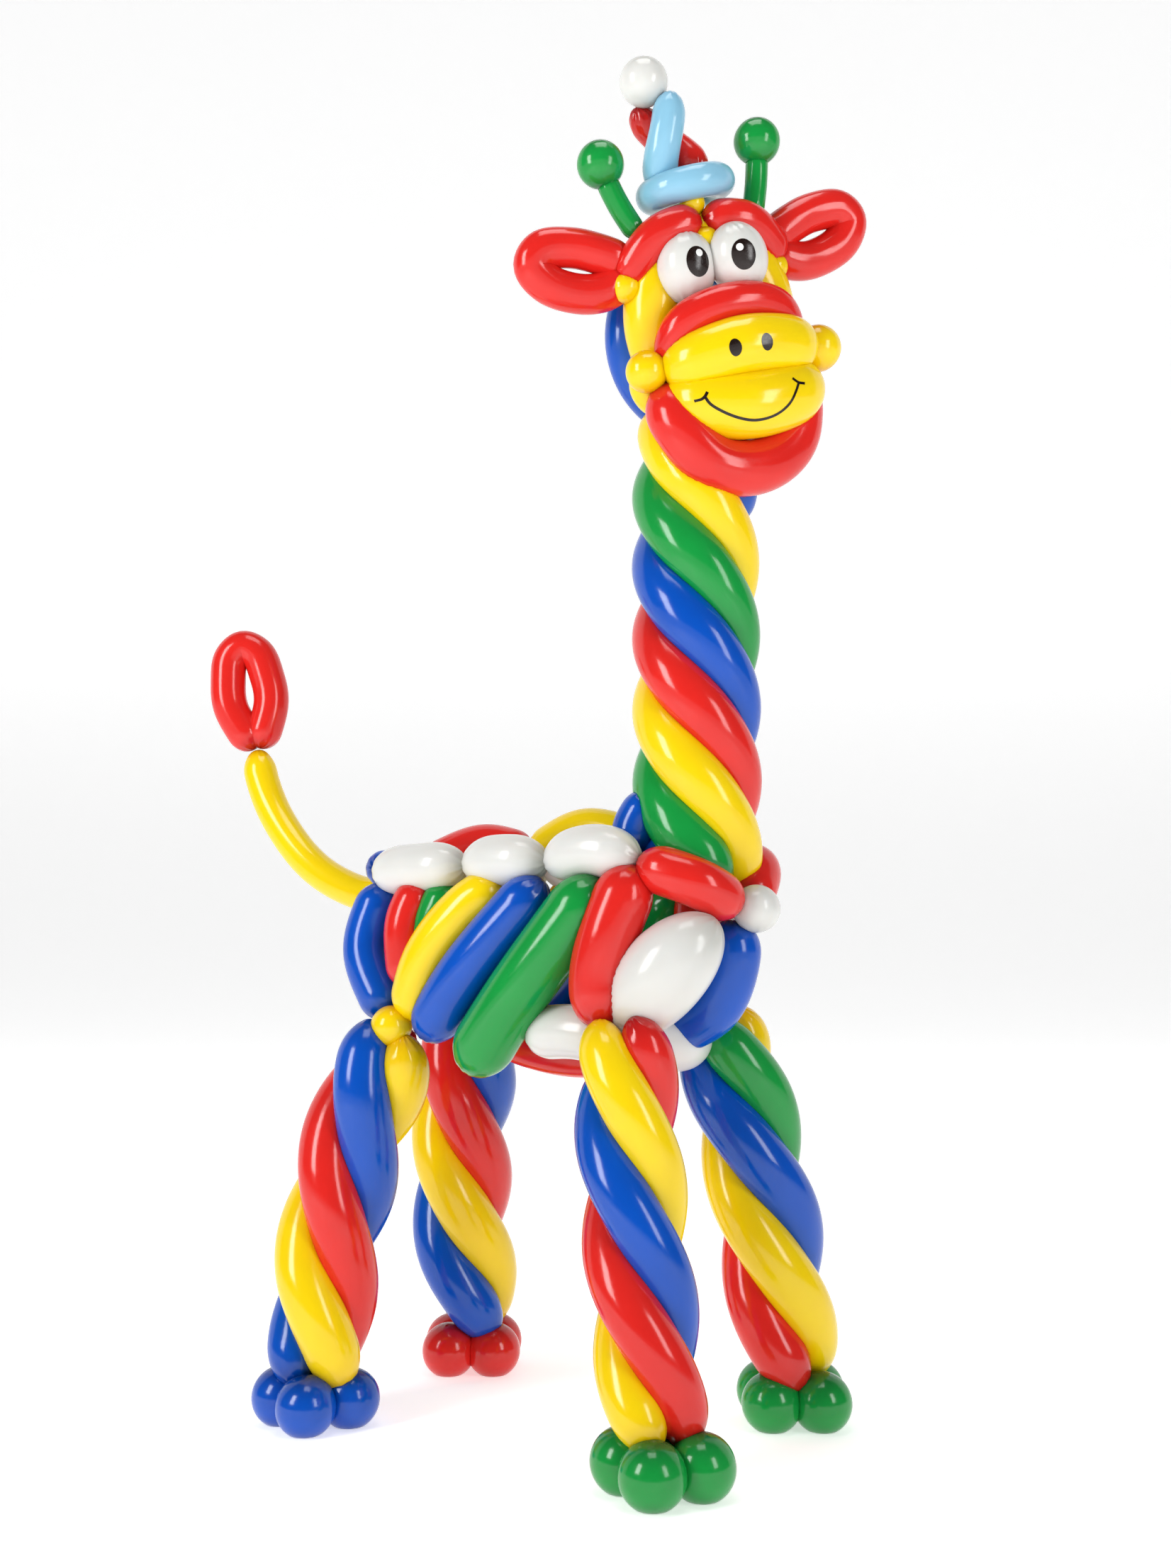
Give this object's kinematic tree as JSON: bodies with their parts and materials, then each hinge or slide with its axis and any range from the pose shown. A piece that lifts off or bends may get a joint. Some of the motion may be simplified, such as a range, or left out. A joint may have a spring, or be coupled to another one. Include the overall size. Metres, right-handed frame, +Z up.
{
  "type": "balloon giraffe",
  "caption": "Standing giraffe twisted from glossy modelling balloons in bright colours, with spiral neck and legs, looped ears, a smiling muzzle and a small cone hat.",
  "frame": {"origin": "on the floor, under the middle of the figure's bounding box", "axes": "+X towards the giraffe's chest and nose, +Y towards its own left side, +Z up"},
  "size_m": [1.2798, 0.6222, 2.1419],
  "materials": {
    "latex_yellow": "gloss",
    "latex_red": "gloss",
    "latex_blue": "gloss",
    "latex_light_blue": "gloss",
    "latex_green": "gloss",
    "latex_pearl_white": "gloss"
  },
  "bodies": {
    "root": {"tail_yellow": "latex_yellow", "chest_ball_white": "latex_pearl_white", "back_rail_right_white": "latex_pearl_white", "back_rail_left_white": "latex_pearl_white", "back_spine_red": "latex_red", "back_spine_yellow": "latex_yellow", "back_rear_blue": "latex_blue", "chest_oval_right_white": "latex_pearl_white", "collar_and_shoulder_right_red": "latex_red", "flank_right_blue": "latex_blue", "flank_right_green": "latex_green", "flank_right_yellow": "latex_yellow", "rear_right_red": "latex_red", "rear_right_blue": "latex_blue", "rear_right_green": "latex_green", "chest_oval_left_white": "latex_pearl_white", "collar_and_shoulder_left_red": "latex_red", "flank_left_blue": "latex_blue", "flank_left_green": "latex_green", "flank_left_yellow": "latex_yellow", "rear_left_red": "latex_red", "rear_left_blue": "latex_blue", "rear_left_green": "latex_green", "chest_blue": "latex_blue", "belly_white": "latex_pearl_white", "belly_red": "latex_red", "foot_front_right_green": "latex_green", "leg_front_right_blue": "latex_blue", "leg_front_right_yellow": "latex_yellow", "leg_front_right_red": "latex_red", "foot_rear_right_blue": "latex_blue", "leg_rear_right_blue": "latex_blue", "leg_rear_right_yellow": "latex_yellow", "leg_rear_right_red": "latex_red", "foot_front_left_green": "latex_green", "leg_front_left_blue": "latex_blue", "leg_front_left_red": "latex_red", "leg_front_left_green": "latex_green", "leg_front_left_yellow": "latex_yellow", "foot_rear_left_red": "latex_red", "leg_rear_left_blue": "latex_blue", "leg_rear_left_yellow": "latex_yellow", "leg_rear_left_red": "latex_red", "neck_yellow": "latex_yellow", "neck_green": "latex_green", "neck_blue": "latex_blue", "neck_red": "latex_red", "hat_ball_white": "latex_pearl_white", "hat_light_blue": "latex_light_blue", "hat_cone_red": "latex_red", "muzzle_yellow": "latex_yellow", "eyes_white": "latex_pearl_white", "brow_and_ears_red": "latex_red", "face_yellow": "latex_yellow", "muzzle_top_red": "latex_red", "chin_red": "latex_red", "head_back_blue": "latex_blue", "horn_right_green": "latex_green", "horn_left_green": "latex_green", "tail_tuft_red": "latex_red"}
  },
  "joints": []
}
